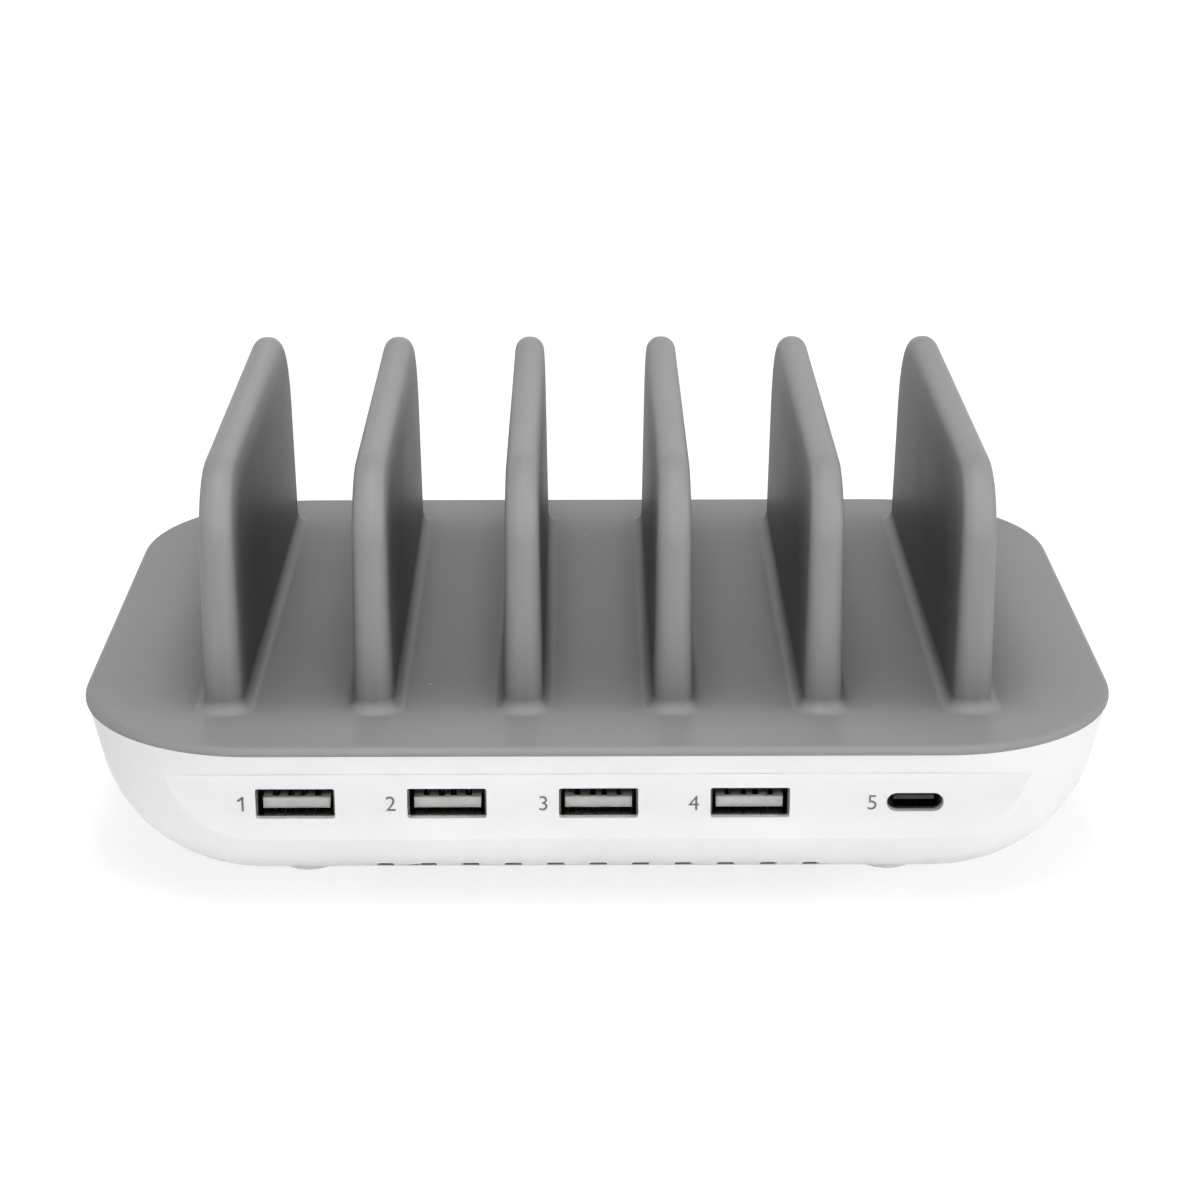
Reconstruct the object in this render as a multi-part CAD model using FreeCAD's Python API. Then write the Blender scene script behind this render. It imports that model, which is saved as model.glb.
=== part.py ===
import FreeCAD, Part
import math
import os

Vec = FreeCAD.Vector
ORIGIN = Vec(0, 0, 0)
ALONG_X = Vec(1, 0, 0)
ALONG_Y = Vec(0, 1, 0)
UP = Vec(0, 0, 1)

# Charging station organizer, in millimetres. The front is -Y, and the feet stand on z = 0.

# Overall form
tray_width = 175.0
tray_depth = 131.0
plan_corner_radius = 31.0
housing_height = 29.6
rim_height = 1.5
wall_thickness = 2.2
wall_draft_angle = 12.4
bilge_radius = 26.0
seam_inset = 0.3
fit_clearance = 0.15
overrun = 1.0
touch = 0.001

# Feet, and the case screws that they hide
foot_height = 1.2
foot_diameter = 10.0
foot_edge_radius = 0.7
foot_recess_depth = 0.8
case_screw_shank = 3.0
case_screw_head = 5.6
case_screw_head_height = 2.2
case_screw_seat = 6.0
case_screw_bite = 4.5
case_post_diameter = 8.6
case_post_gap = 1.9
case_boss_diameter = 7.5
screw_clearance = 0.2

# Divider tray and its fins
plate_thickness = 2.2
rim_edge_radius = 1.05
rim_lower_radius = 0.35
skirt_depth = 2.5
skirt_thickness = 1.4
fin_count = 6
fin_end_margin = 25.0
fin_height = 41.7
fin_base_thickness = 6.5
fin_top_thickness = 5.35
fin_front_setback = 15.5
fin_back_setback = 12.0
fin_front_corner_radius = 12.2
fin_back_corner_radius = 17.5
fin_back_lean_angle = 3.6
fin_edge_radius = 2.55
fin_base_fillet = 2.0
fin_wall = 1.8

# Port panel: a flat set back under a sloping ledge of the housing's front wall
panel_setback = 5.5
panel_drop = 5.5
ledge_angle = 26.0
port_drop = 10.6
panel_edge_radius = 0.4
port_pocket_depth = 1.1
usb_a_count = 4
usb_c_shift = 2.2
usb_a_cutout_width = 13.1
usb_a_cutout_height = 5.3
usb_a_cutout_corner = 0.4
usb_c_cutout_width = 9.4
usb_c_cutout_height = 3.3

# Vent slots over the front and back bottom edges
vent_count = 11
vent_end_margin = 14.0
vent_width = 2.9
vent_corner_radius = 0.5
vent_setback = 12.5
vent_length = 17.0

# USB-A receptacles, hung upside down under the board
shell_wall = 0.3
port_gap = 0.1
usb_a_shell_width = 13.1
usb_a_shell_height = 5.72
usb_a_shell_length = 14.0
usb_a_tongue_width = 11.1
usb_a_tongue_thickness = 1.84
usb_a_tongue_gap = 0.7
usb_a_tongue_recess = 1.4
usb_a_block_length = 3.0
usb_a_contact_width = 1.0
usb_a_contact_inner = 1.0
usb_a_contact_outer = 3.5
usb_a_contact_recess = 0.9
contact_thickness = 0.3
tail_gap = 0.3

# USB-C receptacle
usb_c_shell_width = 8.94
usb_c_shell_height = 3.16
usb_c_shell_length = 7.4
usb_c_tongue_width = 6.69
usb_c_tongue_thickness = 0.7
usb_c_tongue_recess = 1.0
usb_c_block_length = 2.4
usb_c_leg_length = 1.2
usb_c_leg_inset = 1.9
usb_c_contact_count = 6
usb_c_contact_pitch = 1.0
usb_c_contact_width = 0.35
usb_c_contact_thickness = 0.12

# Mains inlet in a pocket of the back wall
inlet_recess = 2.0
inlet_edge_radius = 0.5
inlet_pocket_width = 26.0
inlet_pocket_height = 12.4
inlet_pocket_corner = 2.5
inlet_nose_width = 19.0
inlet_nose_height = 9.8
inlet_body_width = 21.5
inlet_body_height = 10.8
inlet_body_depth = 15.0
inlet_mouth_diameter = 8.2
inlet_mouth_depth = 10.0
inlet_waist_height = 5.0
inlet_pin_pitch = 8.6
inlet_pin_diameter = 2.4
inlet_pin_recess = 1.0
inlet_tag_width = 2.0
inlet_tag_thickness = 0.8
pin_clearance = 0.05

# Main board and its screws
board_side_margin = 23.5
board_thickness = 1.6
board_corner_radius = 3.0
board_gap = 0.5
board_boss_diameter = 6.0
board_screw_shank = 2.5
board_screw_head = 5.0
board_screw_head_height = 1.8
board_screw_bite = 4.0
board_screw_front_setback = 21.3
board_screw_back_setback = 9.8

# Transformer, with its axis along X
core_length = 25.0
core_depth = 20.0
core_leg = 3.2
core_window_length = 17.0
bobbin_wall = 0.8
transformer_floor_gap = 4.86
winding_inset = 1.1
winding_build = 3.1
winding_edge_radius = 1.6
transformer_place_shares = (0.0, 0.06)

# Converter parts on the board's underside
bulk_capacitor_diameter = 12.5
bulk_capacitor_floor_gap = 3.66
bulk_capacitor_place_shares = ((-0.27, 0.19), (-0.27, 0.05))
heatsink_thickness = 1.5
heatsink_length = 22.0
heatsink_floor_gap = 4.66
heatsink_flange = 4.0
primary_heatsink_place_shares = (-0.15, 0.06)
secondary_heatsink_place_shares = (0.15, 0.06)
transistor_width = 10.0
transistor_thickness = 4.5
transistor_margin = 1.0
transistor_lead_length = 3.0
transistor_lead_width = 0.8
transistor_lead_thickness = 0.5
transistor_lead_pitch = 2.54
output_capacitor_count = 3
output_capacitor_pitch = 10.0
output_capacitor_diameter = 8.0
output_capacitor_floor_gap = 6.66
output_capacitor_place_shares = (0.27, 0.02)
can_groove_depth = 0.5
can_groove_height = 2.2
choke_outer_diameter = 16.0
choke_inner_diameter = 8.4
choke_height = 7.0
choke_winding_thickness = 1.0
choke_winding_angle = 120.0
choke_place_shares = (0.17, 0.27)
x_capacitor_width = 8.0
x_capacitor_depth = 15.0
x_capacitor_floor_gap = 6.66
x_capacitor_place_shares = (0.30, 0.40)
bridge_width = 14.0
bridge_depth = 4.0
bridge_floor_gap = 8.66
bridge_place_shares = (-0.17, 0.28)
fuse_diameter = 5.0
fuse_length = 13.0
fuse_place_shares = (-0.285, 0.42)
disc_thickness = 4.0
varistor_diameter = 9.0
varistor_place_shares = (-0.135, 0.43)
y_capacitor_diameter = 8.0
y_capacitor_place_shares = (0.08, -0.11)
inductor_diameter = 10.0
inductor_height = 8.0
inductor_waist_depth = 1.5
inductor_flange = 1.6
inductor_place_shares = (0.36, -0.17)
optocoupler_size = (4.6, 6.5, 3.6)
optocoupler_place_shares = (0.0, -0.11)
chip_size = (5.0, 6.0, 1.6)
controller_place_shares = (-0.16, -0.12)
port_controller_depth_share = -0.32
port_capacitor_diameter = 5.0
port_capacitor_height = 8.0
port_capacitor_gap = 2.4

# Shares that keep a rounding inside the piece that carries it
bilge_room_share = 0.97
fin_round_share = 0.48
rim_round_share = 0.72
rim_lower_share = 0.25

# Levels and planes worked out from the sizes above
housing_bottom_z = foot_height
floor_z = housing_bottom_z + wall_thickness
parting_z = housing_bottom_z + housing_height
tray_top_z = parting_z + rim_height
plate_bottom_z = tray_top_z - plate_thickness
fin_top_z = tray_top_z + fin_height
fin_front_y = fin_front_setback - tray_depth / 2
fin_back_y = tray_depth / 2 - fin_back_setback
fin_pitch = (tray_width - 2 * fin_end_margin) / (fin_count - 1)

# Half section of the hull about a corner axis: a leaning wall over a round bottom edge
draft = math.radians(wall_draft_angle)
wall_lean = math.tan(draft)
rim_radius = plan_corner_radius - seam_inset
bilge_room = (rim_radius - housing_height * wall_lean) / (math.cos(draft) - wall_lean * (1 - math.sin(draft)))
bilge = min(bilge_radius, bilge_room_share * bilge_room)
bilge_z = housing_bottom_z + bilge
wall_foot_z = bilge_z - bilge * math.sin(draft)
bilge_x = rim_radius - (parting_z - wall_foot_z) * wall_lean - bilge * math.cos(draft)


def hull_reach(z):
    """Reach of the outer wall from a corner axis at a height."""
    if z > wall_foot_z:
        return rim_radius - (parting_z - z) * wall_lean
    return bilge_x + math.sqrt(bilge ** 2 - (bilge_z - z) ** 2)


def row(count, pitch):
    """Places of an evenly spaced row about zero."""
    return [(i - (count - 1) / 2) * pitch for i in range(count)]


# Ports in front of the slots, and the board over them
panel_y = panel_setback - tray_depth / 2
panel_back_y = panel_y + wall_thickness
panel_top_z = parting_z - panel_drop
ledge_slope = math.tan(math.radians(ledge_angle))
port_z = parting_z - port_drop
port_front_y = panel_back_y - port_pocket_depth + port_gap
slot_places = row(fin_count - 1, fin_pitch)
usb_a_places = slot_places[:usb_a_count]
usb_c_x = slot_places[-1] + usb_c_shift
tail_back_y = port_front_y + usb_a_shell_length + tail_gap + contact_thickness
board_bottom_z = port_z + usb_a_shell_height / 2
board_top_z = board_bottom_z + board_thickness
board_room = board_bottom_z - floor_z
inlet_z = board_bottom_z - inlet_body_height / 2
inlet_y = tray_depth / 2 - plan_corner_radius + hull_reach(inlet_z - inlet_nose_height / 2) - inlet_recess
board_width = tray_width - 2 * board_side_margin
board_front_y = panel_back_y + board_gap
board_back_y = inlet_y - wall_thickness - board_gap
board_depth = board_back_y - board_front_y
board_center_y = (board_front_y + board_back_y) / 2
case_screw_y = tail_back_y + case_post_gap + case_post_diameter / 2
case_screw_points = [(x, y) for y in (case_screw_y, -case_screw_y) for x in (slot_places[0], slot_places[-1])]
board_screw_rows = (board_front_y + board_screw_front_setback, board_back_y - board_screw_back_setback)
board_screw_points = [(x, y) for y in board_screw_rows for x in (-fin_pitch, fin_pitch)]
vent_pitch = (slot_places[-1] - slot_places[0] - 2 * vent_end_margin) / (vent_count - 1)
heatsink_height = board_room - heatsink_floor_gap


def box(x_range, y_range, z_range):
    """Box between two x, two y and two z values."""
    ranges = (x_range, y_range, z_range)
    return Part.makeBox(*[high - low for low, high in ranges], Vec(*[low for low, high in ranges]))


def span(middle, size):
    """Low and high value of a size about its middle."""
    return (middle - size / 2, middle + size / 2)


def bar(diameter, point, z_range):
    """Upright round bar at a point of the plan."""
    return Part.makeCylinder(diameter / 2, z_range[1] - z_range[0], Vec(*point, z_range[0]), UP)


def lying_bar(diameter, x, z, y_range):
    """Round bar along Y."""
    return Part.makeCylinder(diameter / 2, y_range[1] - y_range[0], Vec(x, y_range[0], z), ALONG_Y)


def rounded_outline(corners, radii):
    """Closed wire through corner points, each rounded by its own radius."""
    joints = []
    for i, corner in enumerate(corners):
        before = (corners[i - 1] - corner).normalize()
        after = (corners[(i + 1) % len(corners)] - corner).normalize()
        half_angle = before.getAngle(after) / 2
        reach = radii[i] / math.tan(half_angle)
        inward = (before + after).normalize() * (radii[i] / math.sin(half_angle) - radii[i])
        joints.append((corner + before * reach, corner + inward, corner + after * reach))
    edges = []
    for i, (enter, middle, leave) in enumerate(joints):
        if radii[i] > 0:
            edges.append(Part.Arc(enter, middle, leave).toShape())
        following = joints[(i + 1) % len(joints)][0]
        if not leave.isEqual(following, touch):
            edges.append(Part.makeLine(leave, following))
    return Part.Wire(edges)


def rectangle(width, depth, radius):
    """Face of a round-cornered rectangle about the origin of the plan."""
    x, y = width / 2, depth / 2
    corners = [Vec(x, y, 0), Vec(-x, y, 0), Vec(-x, -y, 0), Vec(x, -y, 0)]
    return Part.Face(rounded_outline(corners, [radius] * len(corners)))


def standing(face, z_range):
    """Prism of a plan face between two z values."""
    low = face.copy()
    low.translate(Vec(0, 0, z_range[0]))
    return low.extrude(Vec(0, 0, z_range[1] - z_range[0]))


def facing(face, x, z, y_range):
    """Prism of a plan face turned to look along Y, centred on x and z, between two y values."""
    upright = face.copy()
    upright.rotate(ORIGIN, ALONG_X, 90)
    upright.translate(Vec(x, y_range[0], z))
    return upright.extrude(Vec(0, y_range[1] - y_range[0], 0))


def tray_outline(inset):
    """Plan of the tray, moved inwards by inset."""
    return rectangle(tray_width - 2 * inset, tray_depth - 2 * inset, plan_corner_radius - inset)


def boat_section(offset, top_z):
    """Half section of the hull about its corner axis, moved inwards by offset, up to top_z."""
    radius = bilge - offset
    middle = (draft + math.pi / 2) / 2
    wall_top = Vec(rim_radius - offset / math.cos(draft) + (top_z - parting_z) * wall_lean, 0, top_z)
    wall_foot = Vec(bilge_x + radius * math.cos(draft), 0, bilge_z - radius * math.sin(draft))
    turn = Vec(bilge_x + radius * math.cos(middle), 0, bilge_z - radius * math.sin(middle))
    floor_edge = Vec(bilge_x, 0, bilge_z - radius)
    axis_foot = Vec(0, 0, bilge_z - radius)
    axis_top = Vec(0, 0, top_z)
    edges = [
        Part.makeLine(axis_top, wall_top),
        Part.makeLine(wall_top, wall_foot),
        Part.Arc(wall_foot, turn, floor_edge).toShape(),
        Part.makeLine(floor_edge, axis_foot),
        Part.makeLine(axis_foot, axis_top),
    ]
    return Part.Face(Part.Wire(edges))


def boat_form(offset, top_z):
    """Solid hull: one half section run along the four sides and turned about the four corners."""
    section = boat_section(offset, top_z)
    half_x = tray_width / 2 - plan_corner_radius
    half_y = tray_depth / 2 - plan_corner_radius
    pieces = [box((-half_x, half_x), (-half_y, half_y), (section.BoundBox.ZMin, top_z))]
    for turn in range(4):
        across, along = (half_x, half_y) if turn % 2 == 0 else (half_y, half_x)
        side = section.extrude(Vec(0, 2 * along, 0))
        side.translate(Vec(across, -along, 0))
        corner = section.revolve(ORIGIN, UP, 90)
        corner.translate(Vec(across, along, 0))
        for piece in (side, corner):
            piece.rotate(ORIGIN, UP, 90 * turn)
            pieces.append(piece)
    return pieces[0].multiFuse(pieces[1:]).removeSplitter()


def inlet_pocket(margin, y_range):
    """Pocket of the mains inlet in the back wall, larger by a margin."""
    sizes = (inlet_pocket_width + 2 * margin, inlet_pocket_height + 2 * margin)
    face = rectangle(*sizes, inlet_pocket_corner + margin)
    return facing(face, 0, inlet_z, y_range)


def ledge_z(y):
    """Height of the ledge's sloping underside."""
    return panel_top_z + (panel_y - y) * ledge_slope


def under_ledge(back_y, lift):
    """Room in front of an upright plane and under the ledge, which is raised by lift."""
    corners = []
    for y in (back_y, -tray_depth):
        corners.append(Vec(-tray_width, y, ledge_z(y) + lift))
    corners += [Vec(-tray_width, -tray_depth, 0), Vec(-tray_width, back_y, 0)]
    return Part.Face(Part.makePolygon(corners + corners[:1])).extrude(Vec(2 * tray_width, 0, 0))


def panel_rims(body):
    """Outer edges of the flat port panel and of the ledge over it."""
    rims = []
    for edge in body.Edges:
        ends = [vertex.Point for vertex in edge.Vertexes] + [edge.CenterOfMass]
        on_panel = all(abs(point.y - panel_y) < touch for point in ends)
        on_ledge = all(abs(point.z - ledge_z(point.y)) < touch for point in ends)
        if on_panel != on_ledge and edge.CenterOfMass.y < panel_y + touch:
            rims.append(edge)
    return rims


def pocket_rims(body):
    """Edges where the inlet pocket meets the outer face of the back wall."""
    rims = []
    for edge in body.Edges:
        bound = edge.BoundBox
        inside = max(bound.XMax, -bound.XMin) < inlet_pocket_width / 2 + touch
        along_y = bound.XLength < touch and bound.ZLength < touch
        if inside and bound.YMax > inlet_y + touch and not along_y:
            rims.append(edge)
    return rims


def vent_slots():
    """Slots that cross the front and back bottom edges."""
    slots = []
    slot = rectangle(vent_width, vent_length, vent_corner_radius)
    slot_y = tray_depth / 2 - vent_setback - vent_length / 2
    for x in row(vent_count, vent_pitch):
        for y in (-slot_y, slot_y):
            slots.append(standing(slot, (0, board_bottom_z)).translated(Vec(x, y, 0)))
    return slots


def lower_housing():
    """Boat-shaped lower case with port panel, inlet pocket, vents, screw posts and foot recesses."""
    cavity = boat_form(wall_thickness, parting_z + overrun)
    cavity = cavity.cut(under_ledge(panel_back_y, wall_thickness / math.cos(math.radians(ledge_angle))))
    cavity = cavity.cut(inlet_pocket(wall_thickness, (inlet_y - wall_thickness, tray_depth)))
    body = boat_form(0, parting_z)
    body = body.cut(under_ledge(panel_y, 0))
    body = body.makeFillet(min(panel_edge_radius, wall_thickness / 2), panel_rims(body))
    body = body.cut(inlet_pocket(0, (inlet_y, tray_depth)))
    body = body.makeFillet(min(inlet_edge_radius, wall_thickness / 2), pocket_rims(body))
    body = body.cut(cavity)
    recess_z = housing_bottom_z + foot_recess_depth
    posts = [bar(case_post_diameter, point, (recess_z, board_bottom_z)) for point in case_screw_points]
    body = body.multiFuse(posts)
    cuts = vent_slots()
    for point in case_screw_points:
        cuts.append(bar(foot_diameter + 2 * fit_clearance, point, (0, recess_z)))
        cuts.append(bar(case_screw_head + 2 * screw_clearance, point, (0, recess_z + case_screw_seat)))
        cuts.append(bar(case_screw_shank + 2 * screw_clearance, point, (0, board_top_z)))
    panel_cut = (panel_y - overrun, panel_back_y + overrun)
    pocket_cut = (panel_back_y - port_pocket_depth, panel_back_y + overrun)
    usb_a_face = rectangle(usb_a_cutout_width, usb_a_cutout_height, usb_a_cutout_corner)
    room_sizes = [size + 2 * fit_clearance for size in (usb_a_shell_width, usb_a_shell_height)]
    usb_a_room = rectangle(*room_sizes, shell_wall)
    for x in usb_a_places:
        cuts.append(facing(usb_a_face, x, port_z, panel_cut))
        cuts.append(facing(usb_a_room, x, port_z, pocket_cut))
    usb_c_face = rectangle(usb_c_cutout_width, usb_c_cutout_height, usb_c_cutout_height / 2)
    cuts.append(facing(usb_c_face, usb_c_x, port_z, panel_cut))
    usb_c_room_height = usb_c_shell_height + 2 * fit_clearance
    usb_c_room = rectangle(usb_c_shell_width + 2 * fit_clearance, usb_c_room_height, usb_c_room_height / 2)
    cuts.append(facing(usb_c_room, usb_c_x, port_z, pocket_cut))
    nose = rectangle(inlet_nose_width + 2 * fit_clearance, inlet_nose_height + 2 * fit_clearance,
                     inlet_nose_height / 2 + fit_clearance)
    cuts.append(facing(nose, 0, inlet_z, (inlet_y - wall_thickness - overrun, inlet_y + overrun)))
    block_room = inlet_body_height + fit_clearance
    block_y = (inlet_y - wall_thickness - inlet_body_depth, inlet_y - wall_thickness)
    cuts.append(box(span(0, inlet_body_width + 2 * fit_clearance), block_y,
                    (board_bottom_z - block_room, board_bottom_z)))
    return body.cut(cuts).removeSplitter()


def fin(inset, low_z):
    """Drafted fin about x = 0, moved inwards by inset, from low_z to its rounded top."""
    back_lean = math.tan(math.radians(fin_back_lean_angle))
    side_lean = (fin_base_thickness - fin_top_thickness) / 2 / fin_height
    front_y = fin_front_y + inset
    top_z = fin_top_z - inset
    back_y = [fin_back_y - inset - (z - tray_top_z) * back_lean for z in (low_z, top_z)]
    half = [fin_base_thickness / 2 - inset - (z - tray_top_z) * side_lean for z in (low_z, top_z)]
    corners = [Vec(0, front_y, low_z), Vec(0, front_y, top_z)]
    corners += [Vec(0, back_y[1], top_z), Vec(0, back_y[0], low_z)]
    radii = [0, fin_front_corner_radius - inset, fin_back_corner_radius - inset, 0]
    profile = Part.Face(rounded_outline(corners, radii))
    profile.translate(Vec(-fin_base_thickness, 0, 0))
    plate = profile.extrude(Vec(2 * fin_base_thickness, 0, 0))
    taper = [Vec(-half[0], 0, low_z), Vec(half[0], 0, low_z), Vec(half[1], 0, top_z), Vec(-half[1], 0, top_z)]
    wedge = Part.Face(Part.makePolygon(taper + taper[:1]))
    wedge.translate(Vec(0, -tray_depth / 2, 0))
    return plate.common(wedge.extrude(Vec(0, tray_depth, 0)))


def rounded_fin(low_z):
    """Fin with the rims of both its sides rounded."""
    body = fin(0, low_z)
    radius = min(fin_edge_radius, fin_round_share * fin_top_thickness)
    rims = []
    for edge in body.Edges:
        on_side = abs(edge.CenterOfMass.x) > fin_top_thickness / 4
        if on_side and edge.BoundBox.ZMax > tray_top_z:
            rims.append(edge)
    return body.makeFillet(radius, rims)


def divider_tray():
    """Top moulding: rimmed plate, six hollow fins, locating skirt and screw bosses."""
    plate = standing(tray_outline(0), (parting_z, tray_top_z))
    top_face = max(plate.Faces, key=lambda face: face.CenterOfMass.z)
    plate = plate.makeFillet(min(rim_edge_radius, rim_round_share * rim_height), top_face.Edges)
    low_face = min(plate.Faces, key=lambda face: face.CenterOfMass.z)
    plate = plate.makeFillet(min(rim_lower_radius, rim_lower_share * rim_height), low_face.Edges)
    solid_fin = rounded_fin(tray_top_z - rim_height / 2)
    hollow = fin(fin_wall, plate_bottom_z - overrun)
    fins = []
    hollows = []
    for x in row(fin_count, fin_pitch):
        fins.append(solid_fin.translated(Vec(x, 0, 0)))
        hollows.append(hollow.translated(Vec(x, 0, 0)))
    body = plate.multiFuse(fins)
    top_face = min(body.Faces, key=lambda face: abs(face.CenterOfMass.z - tray_top_z))
    root_loops = [wire for wire in top_face.Wires if not wire.isSame(top_face.OuterWire)]
    body = body.makeFillet(fin_base_fillet, [edge for loop in root_loops for edge in loop.Edges])
    skirt_z = plate_bottom_z - skirt_depth
    skirt_inset = seam_inset + wall_thickness / math.cos(draft)
    skirt_inset += fit_clearance + (parting_z - skirt_z) * wall_lean
    skirt = standing(tray_outline(skirt_inset), (skirt_z, parting_z))
    skirt = skirt.cut(standing(tray_outline(skirt_inset + skirt_thickness), (skirt_z, plate_bottom_z)))
    panel_room = (-tray_depth, panel_back_y + board_gap)
    skirt = skirt.cut(box((-tray_width, tray_width), panel_room, (0, plate_bottom_z)))
    bosses = [bar(case_boss_diameter, point, (board_top_z, parting_z)) for point in case_screw_points]
    bosses += [bar(board_boss_diameter, point, (board_top_z, parting_z)) for point in board_screw_points]
    body = body.multiFuse([skirt] + bosses)
    pilots = [bar(case_screw_shank + 2 * pin_clearance, point, (board_top_z, plate_bottom_z))
              for point in case_screw_points]
    pilots += [bar(board_screw_shank + 2 * pin_clearance, point, (board_top_z, plate_bottom_z))
               for point in board_screw_points]
    return body.cut(hollows + pilots).removeSplitter()


def foot(point):
    """Rubber foot in its recess, with a rounded lower rim."""
    body = bar(foot_diameter, point, (0, housing_bottom_z + foot_recess_depth))
    low_face = min(body.Faces, key=lambda face: face.CenterOfMass.z)
    return body.makeFillet(min(foot_edge_radius, foot_height / 2), low_face.Edges)


def screw(point, seat_z, tip_z, head, head_height, shank):
    """Pan-head screw driven upwards, with its head under seat_z."""
    head_body = bar(head, point, (seat_z - head_height, seat_z))
    low_face = min(head_body.Faces, key=lambda face: face.CenterOfMass.z)
    head_body = head_body.makeChamfer(head_height / 2, low_face.Edges)
    return head_body.fuse(bar(shank, point, (seat_z, tip_z))).removeSplitter()


def case_screws():
    """Four long screws through the housing posts and the board into the tray."""
    seat_z = housing_bottom_z + foot_recess_depth + case_screw_seat
    tip_z = board_top_z + case_screw_bite
    return [screw(point, seat_z, tip_z, case_screw_head, case_screw_head_height, case_screw_shank)
            for point in case_screw_points]


def board_screws():
    """Four short screws that hang the board on the tray's bosses."""
    tip_z = board_top_z + board_screw_bite
    return [screw(point, board_bottom_z, tip_z, board_screw_head, board_screw_head_height, board_screw_shank)
            for point in board_screw_points]


def main_board():
    """Circuit board with its screw holes."""
    board = standing(rectangle(board_width, board_depth, board_corner_radius), (board_bottom_z, board_top_z))
    board.translate(Vec(0, board_center_y, 0))
    through = (board_bottom_z - overrun, board_top_z + overrun)
    holes = [bar(case_screw_shank + 2 * screw_clearance, point, through) for point in case_screw_points]
    holes += [bar(board_screw_shank + 2 * screw_clearance, point, through) for point in board_screw_points]
    return board.cut(holes)


def usb_a_contacts(x):
    """Four contact strips on the tongue, each with a tail up to the board."""
    tongue_top = port_z - usb_a_shell_height / 2 + shell_wall + usb_a_tongue_gap + usb_a_tongue_thickness
    low_z = tongue_top - contact_thickness
    back_y = port_front_y + usb_a_shell_length + tail_gap
    strips = []
    for offset in (-usb_a_contact_outer, -usb_a_contact_inner, usb_a_contact_inner, usb_a_contact_outer):
        across = span(x + offset, usb_a_contact_width)
        start_y = port_front_y + usb_a_tongue_recess + usb_a_contact_recess
        strip = box(across, (start_y, back_y), (low_z, tongue_top))
        tail = box(across, (back_y, back_y + contact_thickness), (low_z, board_bottom_z))
        strips.append(strip.fuse(tail).removeSplitter())
    return strips


def usb_a_bore():
    """Face of the space inside a USB-A shell."""
    return rectangle(usb_a_shell_width - 2 * shell_wall, usb_a_shell_height - 2 * shell_wall, shell_wall)


def usb_a_shell(x):
    """Folded metal shell, open at both ends."""
    outer = rectangle(usb_a_shell_width, usb_a_shell_height, 2 * shell_wall)
    length = (port_front_y, port_front_y + usb_a_shell_length)
    return facing(outer, x, port_z, length).cut(facing(usb_a_bore(), x, port_z, length))


def usb_a_insulator(x):
    """Moulded block at the back of the shell with its tongue in the lower half of the mouth."""
    floor_z = port_z - usb_a_shell_height / 2 + shell_wall
    back_y = port_front_y + usb_a_shell_length
    block = facing(usb_a_bore(), x, port_z, (back_y - usb_a_block_length, back_y))
    tongue_z = (floor_z + usb_a_tongue_gap, floor_z + usb_a_tongue_gap + usb_a_tongue_thickness)
    tongue = box(span(x, usb_a_tongue_width), (port_front_y + usb_a_tongue_recess, back_y), tongue_z)
    return block.fuse(tongue).cut(usb_a_contacts(x)).removeSplitter()


def usb_c_contacts():
    """Contact strips on the upper face of the tongue, each with a tail up to the board."""
    top_z = port_z + usb_c_tongue_thickness / 2
    low_z = top_z - usb_c_contact_thickness
    back_y = port_front_y + usb_c_shell_length + tail_gap
    strips = []
    for offset in row(usb_c_contact_count, usb_c_contact_pitch):
        across = span(usb_c_x + offset, usb_c_contact_width)
        strip = box(across, (port_front_y + 2 * usb_c_tongue_recess, back_y), (low_z, top_z))
        tail = box(across, (back_y, back_y + usb_c_contact_thickness), (low_z, board_bottom_z))
        strips.append(strip.fuse(tail).removeSplitter())
    return strips


def usb_c_bore():
    """Face of the oval space inside the USB-C shell."""
    height = usb_c_shell_height - 2 * shell_wall
    return rectangle(usb_c_shell_width - 2 * shell_wall, height, height / 2)


def usb_c_shell():
    """Oval metal shell, carried on four legs under the board."""
    outer = rectangle(usb_c_shell_width, usb_c_shell_height, usb_c_shell_height / 2)
    length = (port_front_y, port_front_y + usb_c_shell_length)
    bore = facing(usb_c_bore(), usb_c_x, port_z, length)
    body = facing(outer, usb_c_x, port_z, length)
    for side in (-1, 1):
        leg_x = usb_c_x + side * (usb_c_shell_width - shell_wall) / 2
        starts = (length[0] + usb_c_leg_inset, length[1] - usb_c_leg_inset - usb_c_leg_length)
        for start in starts:
            leg = box(span(leg_x, shell_wall), (start, start + usb_c_leg_length), (port_z, board_bottom_z))
            body = body.fuse(leg)
    return body.cut(bore).removeSplitter()


def usb_c_insulator():
    """Oval block at the back of the shell with a thin tongue at mid height."""
    back_y = port_front_y + usb_c_shell_length
    block = facing(usb_c_bore(), usb_c_x, port_z, (back_y - usb_c_block_length, back_y))
    tongue = box(span(usb_c_x, usb_c_tongue_width), (port_front_y + usb_c_tongue_recess, back_y),
                 span(port_z, usb_c_tongue_thickness))
    return block.fuse(tongue).cut(usb_c_contacts()).removeSplitter()


def inlet_pins():
    """Two round pins in the inlet's mouth, each with a tag up to the board."""
    tag_y = inlet_y - wall_thickness - inlet_body_depth
    pins = []
    for side in (-1, 1):
        x = side * inlet_pin_pitch / 2
        pin = lying_bar(inlet_pin_diameter, x, inlet_z, (tag_y, inlet_y - inlet_pin_recess))
        tag = box(span(x, inlet_tag_width), (tag_y - inlet_tag_thickness, tag_y),
                  (inlet_z - inlet_tag_width / 2, board_bottom_z))
        pins.append(pin.fuse(tag).removeSplitter())
    return pins


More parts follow.
